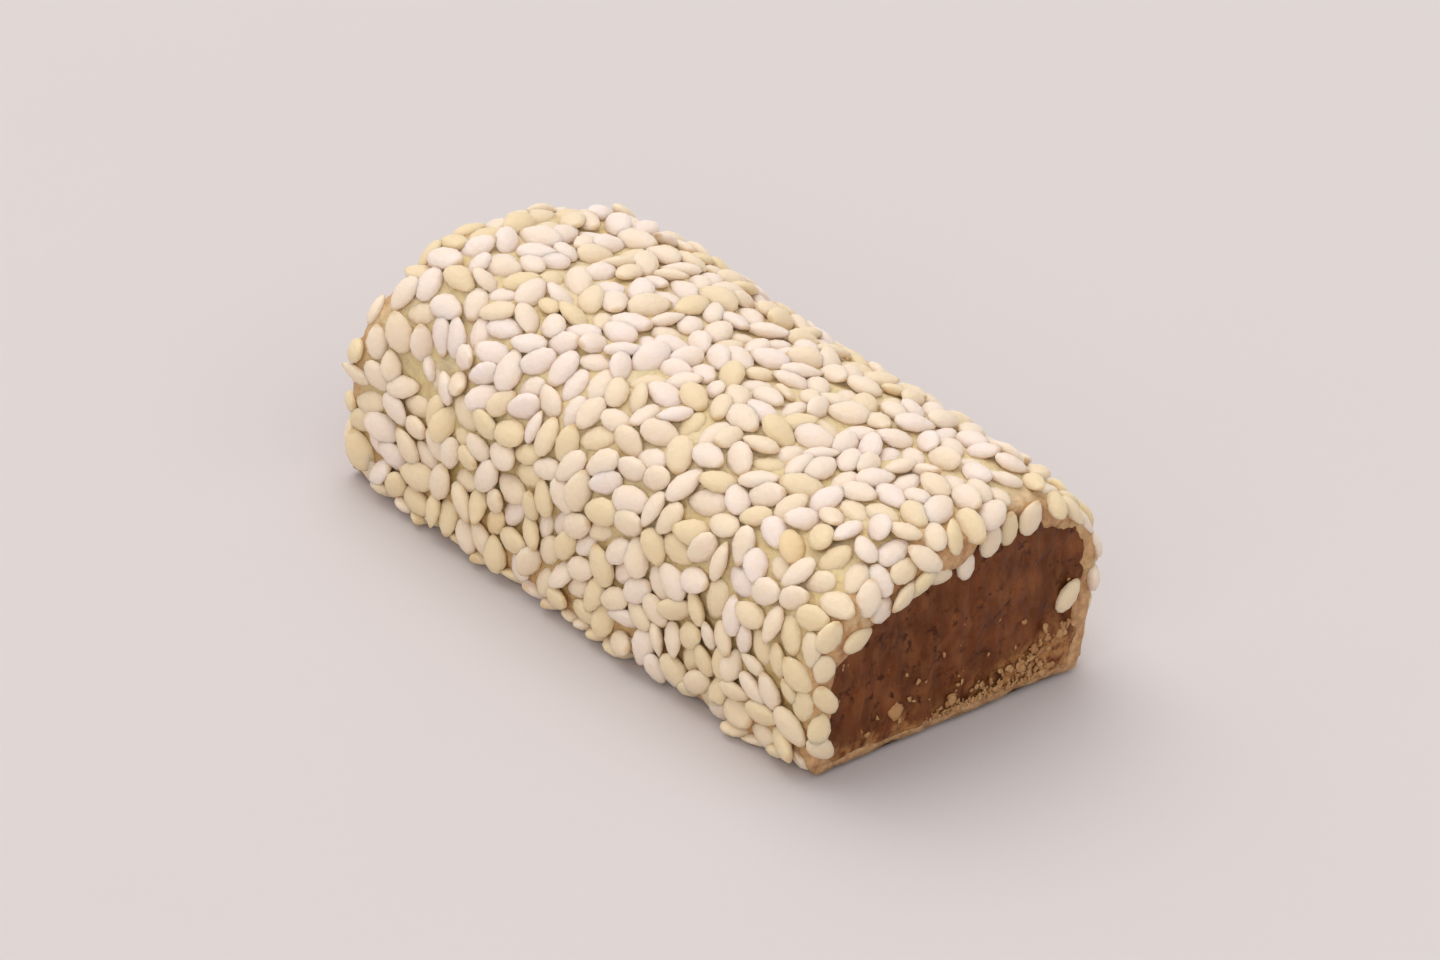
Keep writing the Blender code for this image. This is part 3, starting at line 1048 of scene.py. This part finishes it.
doughLook = {
    "pale": (0.84, 0.69, 0.43),
    "golden": (0.77, 0.595, 0.30),
    "sideDeepAndShade": (0.52, 0.355, 0.12),  # down the sides: toasted dough, partly darkened as painted shade
    "toasted": (0.66, 0.385, 0.18),
    "brown": (0.43, 0.205, 0.085),
    "patches": (260, 0.38, 0.62),  # a mottle's scale, start and full strength
    "uneven": (520, 0.12, 0.44),
    "specks": (1500, 0.42, 0.68),
    "sides": (0.0115, 0.0045, 0.0, 0.85),  # between these heights, the share of the deep colour, which is partly painted shade
    "endToasted": (0.0030, 0.0013),  # between these distances from the cookie's end
    "footToasted": (0.0045, 0.0004),
    "grain": (1700, 0.8, 0.8, 0.0004),  # scale, pores, strength, height
    "shader": {
        "Roughness": 0.62,
        "Subsurface Weight": 0.2,
        "Subsurface Scale": 0.0008,
        "Subsurface Radius": (1.0, 0.85, 0.6),
    },
}


def makeDoughMaterial(s):
    material, tree, shader, place = startMaterial("bakedDough", s)
    patches = addMottle(tree, place, *s["patches"])
    colour = addMix(tree, patches, s["pale"], s["golden"])
    parts = addNode(tree, "SeparateXYZ")
    link(tree, (place, parts.inputs[0]))
    # darker down the sides: partly toasting, partly painted shade in the joints
    down = addRange(tree, parts.outputs["Z"], *s["sides"])
    colour = addMix(tree, down, colour, s["sideDeepAndShade"])
    fromMiddle = addMath(tree, "ABSOLUTE", parts.outputs["X"], 0.0)
    ends = [crustHigh.x - distance for distance in s["endToasted"]]
    nearEnd = addRange(tree, fromMiddle, *ends)
    nearFoot = addRange(tree, parts.outputs["Z"], *s["footToasted"])
    baked = addMath(tree, "MAXIMUM", nearEnd, nearFoot)
    uneven = addMottle(tree, place, *s["uneven"])
    toasting = addMath(tree, "MULTIPLY", baked, uneven)
    specks = addMottle(tree, place, *s["specks"])
    crust = addMix(tree, specks, s["toasted"], s["brown"])
    colour = addMix(tree, toasting, colour, crust)
    colourAndGrain(tree, shader, colour, place, *s["grain"])
    return material


seedLook = {
    "golden": (0.79, 0.632, 0.405),
    "ivory": (0.85, 0.70, 0.57),
    "white": (0.87, 0.735, 0.685),
    "toasted": (0.79, 0.60, 0.36),
    "tip": (0.56, 0.37, 0.18),
    "blotches": (900, 0.35, 0.75),
    "blotchShare": 0.35,
    "tipAlong": (0.86, 1.0, 0.0, 0.9),
    "toastedTone": (-0.2, -0.6),
    "roughness": (0.48, 0.62),
    "grain": (2200, 0.3, 0.5, 0.0002),
    "shader": {
        "Subsurface Weight": 0.45,
        "Subsurface Scale": 0.0007,
        "Subsurface Radius": (1.0, 0.95, 0.85),
        "Specular IOR Level": 0.35,
    },
}


def makeSeedMaterial(s):
    material, tree, shader, place = startMaterial("hulledSesame", s)
    tone = addAttribute(tree, "tone")
    along = addAttribute(tree, "alongSeed")
    lower = addRange(tree, tone, 0.0, 0.5)
    upper = addRange(tree, tone, 0.5, 1.0)
    colour = addMix(tree, lower, s["golden"], s["ivory"])
    colour = addMix(tree, upper, colour, s["white"])
    blotch = addMottle(tree, place, *s["blotches"])
    blotch = addMath(tree, "MULTIPLY", blotch, s["blotchShare"])
    colour = addMix(tree, blotch, colour, s["golden"])
    tip = addRange(tree, along, *s["tipAlong"])
    colour = addMix(tree, tip, colour, s["tip"])
    toasted = addRange(tree, tone, *s["toastedTone"])
    colour = addMix(tree, toasted, colour, s["toasted"])
    rough = addRange(tree, blotch, 0.0, s["blotchShare"], *s["roughness"])
    link(tree, (rough, shader.inputs["Roughness"]))
    colourAndGrain(tree, shader, colour, place, *s["grain"])
    return material


pasteLook = {
    "dark": (0.094, 0.025, 0.006),
    "middle": (0.18, 0.05, 0.013),
    "pale": (0.30, 0.115, 0.042),
    "skin": (0.064, 0.017, 0.005),
    "smear": (0.43, 0.20, 0.07),
    "stretch": (1.0, 1.0, 0.45),  # smears run down the cut
    "smears": (900, 0.42, 0.7),
    "smearShare": 0.6,
    "patches": (330, 0.35, 0.65),
    "skins": (1300, 0.58, 0.66),
    "wander": (480, 0.3, 0.7),
    "wanderHeight": 0.0022,
    "specks": (1500, 0.40, 0.58),
    "foot": 0.0001,
    "crumbEdge": (0.0008, 0.0024),
    "roughness": (0.36, 0.58),
    "grain": (1500, 0.6, 0.6, 0.0003),
    "shader": {"Specular IOR Level": 0.12},
}


def makePasteMaterial(s):
    material, tree, shader, place = startMaterial("datePasteCut", s)
    stretch = addNode(tree, "Mapping")
    setInputs(stretch, Scale=s["stretch"])
    link(tree, (place, stretch.inputs["Vector"]))
    smears = addMottle(tree, stretch.outputs["Vector"], *s["smears"])
    patches = addMottle(tree, place, *s["patches"])
    colour = addMix(tree, patches, s["dark"], s["middle"])
    smears = addMath(tree, "MULTIPLY", smears, s["smearShare"])
    colour = addMix(tree, smears, colour, s["pale"])
    skins = addMottle(tree, place, *s["skins"])
    colour = addMix(tree, skins, colour, s["skin"])
    dragged = addDraggedCrumb(tree, place, s)
    colour = addMix(tree, dragged, colour, s["smear"])
    rough = addRange(tree, smears, 0.0, s["smearShare"], *s["roughness"])
    link(tree, (rough, shader.inputs["Roughness"]))
    colourAndGrain(tree, shader, colour, stretch.outputs["Vector"], *s["grain"])
    return material


def addDraggedCrumb(tree, place, s):
    # mask of toasted crumb along the foot of the cut, higher towards one side
    parts = addNode(tree, "SeparateXYZ")
    link(tree, (place, parts.inputs[0]))
    across = addMath(tree, "MULTIPLY", parts.outputs["X"], parts.outputs["Y"])
    atEnd = dateHigh.x * dateHigh.y
    heights = (dateLow.z + s["foot"], dateLow.z + crumbs["rise"])
    top = addRange(tree, across, 0.0, atEnd, *heights)
    under = addMath(tree, "SUBTRACT", top, parts.outputs["Z"])
    wander = addMottle(tree, place, *s["wander"])
    wander = addMath(tree, "MULTIPLY", wander, s["wanderHeight"])
    under = addMath(tree, "ADD", under, wander)
    mask = addRange(tree, under, *s["crumbEdge"])
    specks = addMottle(tree, place, *s["specks"])
    return addMath(tree, "MULTIPLY", mask, specks)


crumbLook = {
    "pale": (0.53, 0.295, 0.12),
    "golden": (0.40, 0.18, 0.063),
    "grain": (3500, 0.5, 0.5, 0.0002),
    "shader": {"Roughness": 0.6},
}


def makeCrumbMaterial(s):
    material, tree, shader, place = startMaterial("doughCrumb", s)
    tone = addAttribute(tree, "tone")
    colour = addMix(tree, tone, s["pale"], s["golden"])
    colourAndGrain(tree, shader, colour, place, *s["grain"])
    return material


# Building the cookie

def dress(piece, material, slotName, *nodes):
    piece.data.materials.clear()
    piece.data.materials.append(material)
    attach(piece, "root")
    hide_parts(*nodes)


wrapPiece = makeDoughWrap(doughWrap)
print("dough sleeve done", len(wrapPiece.data.polygons))
pastePiece = makeDatePaste(datePaste)
print("date paste done", len(pastePiece.data.polygons))
seedPiece = makeSeeds(wrapPiece, sesame)
print("sesame seeds done", len(seedPiece.data.polygons))
crumbPiece = makeCrumbs(crumbs)
print("crumbs done")

dress(wrapPiece, makeDoughMaterial(doughLook), "sesame_dough", "sesame_crust")
dress(pastePiece, makePasteMaterial(pasteLook), "date_paste", "date_filling")
dress(seedPiece, makeSeedMaterial(seedLook), "sesame_dough", "sesame_crust")
dress(crumbPiece, makeCrumbMaterial(crumbLook), "sesame_dough", "sesame_crust")
print("materials done")


# Floor, light and camera

studio = {
    "floorSize": 3.0,
    "floorColour": (0.615, 0.57, 0.575),
    "floorDarker": 0.965,
    "floorMottle": (9, 0.2, 0.8),
    "shader": {"Roughness": 0.8},
    "skyColour": (1.0, 0.985, 0.97),
    "skyStrength": 0.70,
    "keyLight": {
        "place": (-0.75, 0.15, 1.55),
        "size": 1.8,
        "power": 18.6,
        "colour": (1.0, 0.965, 0.92),
    },
    "fillLight": {
        "place": (0.7, -1.5, 0.9),
        "size": 1.4,
        "power": 8,
        "colour": (1.0, 0.985, 0.97),
    },
}

camera = {
    "fromMiddle": (0.4502, -0.4554, 0.3857),  # where the photograph was taken from
    "roll": math.radians(5.95),
    "lens": 305,
    "aimDown": 0.0012,
}


def makeFloor(s):
    bpy.ops.mesh.primitive_plane_add(size=s["floorSize"])
    floor = bpy.context.object
    floor.name = "floor"
    material, tree, shader, place = startMaterial("paleFloor", s)
    shade = addMottle(tree, place, *s["floorMottle"])
    colour = s["floorColour"]
    darker = tuple(s["floorDarker"] * channel for channel in colour)
    link(tree, (addMix(tree, shade, colour, darker), shader.inputs["Base Color"]))
    floor.data.materials.append(material)


def addAreaLight(name, place, size, power, colour):
    bpy.ops.object.light_add(type="AREA", location=place)
    light = bpy.context.object
    light.name = name
    light.data.size = size
    light.data.energy = power
    light.data.color = colour
    light.rotation_euler = (-Vector(place)).to_track_quat("-Z", "Y").to_euler()


def makeStudio(s):
    makeFloor(s)
    for name in ("keyLight", "fillLight"):
        addAreaLight(name, **s[name])
    world = bpy.data.worlds.new("softRoom")
    world.use_nodes = True
    sky = world.node_tree.nodes["Background"]
    setInputs(sky, Color=(*s["skyColour"], 1), Strength=s["skyStrength"])
    scene = bpy.context.scene
    scene.world = world
    scene.view_settings.view_transform = "Standard"


def makeCamera(s):
    middle = (cadLow + cadHigh) / 2
    bpy.ops.object.camera_add()
    cam = bpy.context.object
    cam.name = "photoCamera"
    cam.data.lens = s["lens"]
    cam.data.sensor_width = 36
    cam.data.clip_start = 0.01
    aim = middle - Vector((0, 0, s["aimDown"]))
    cam.location = middle + Vector(s["fromMiddle"])
    look = (aim - cam.location).to_track_quat("-Z", "Y").to_matrix()
    cam.rotation_euler = (look @ Matrix.Rotation(s["roll"], 3, "Z")).to_euler()
    bpy.context.scene.camera = cam


deselectAll()
makeStudio(studio)
makeCamera(camera)
print("studio done")
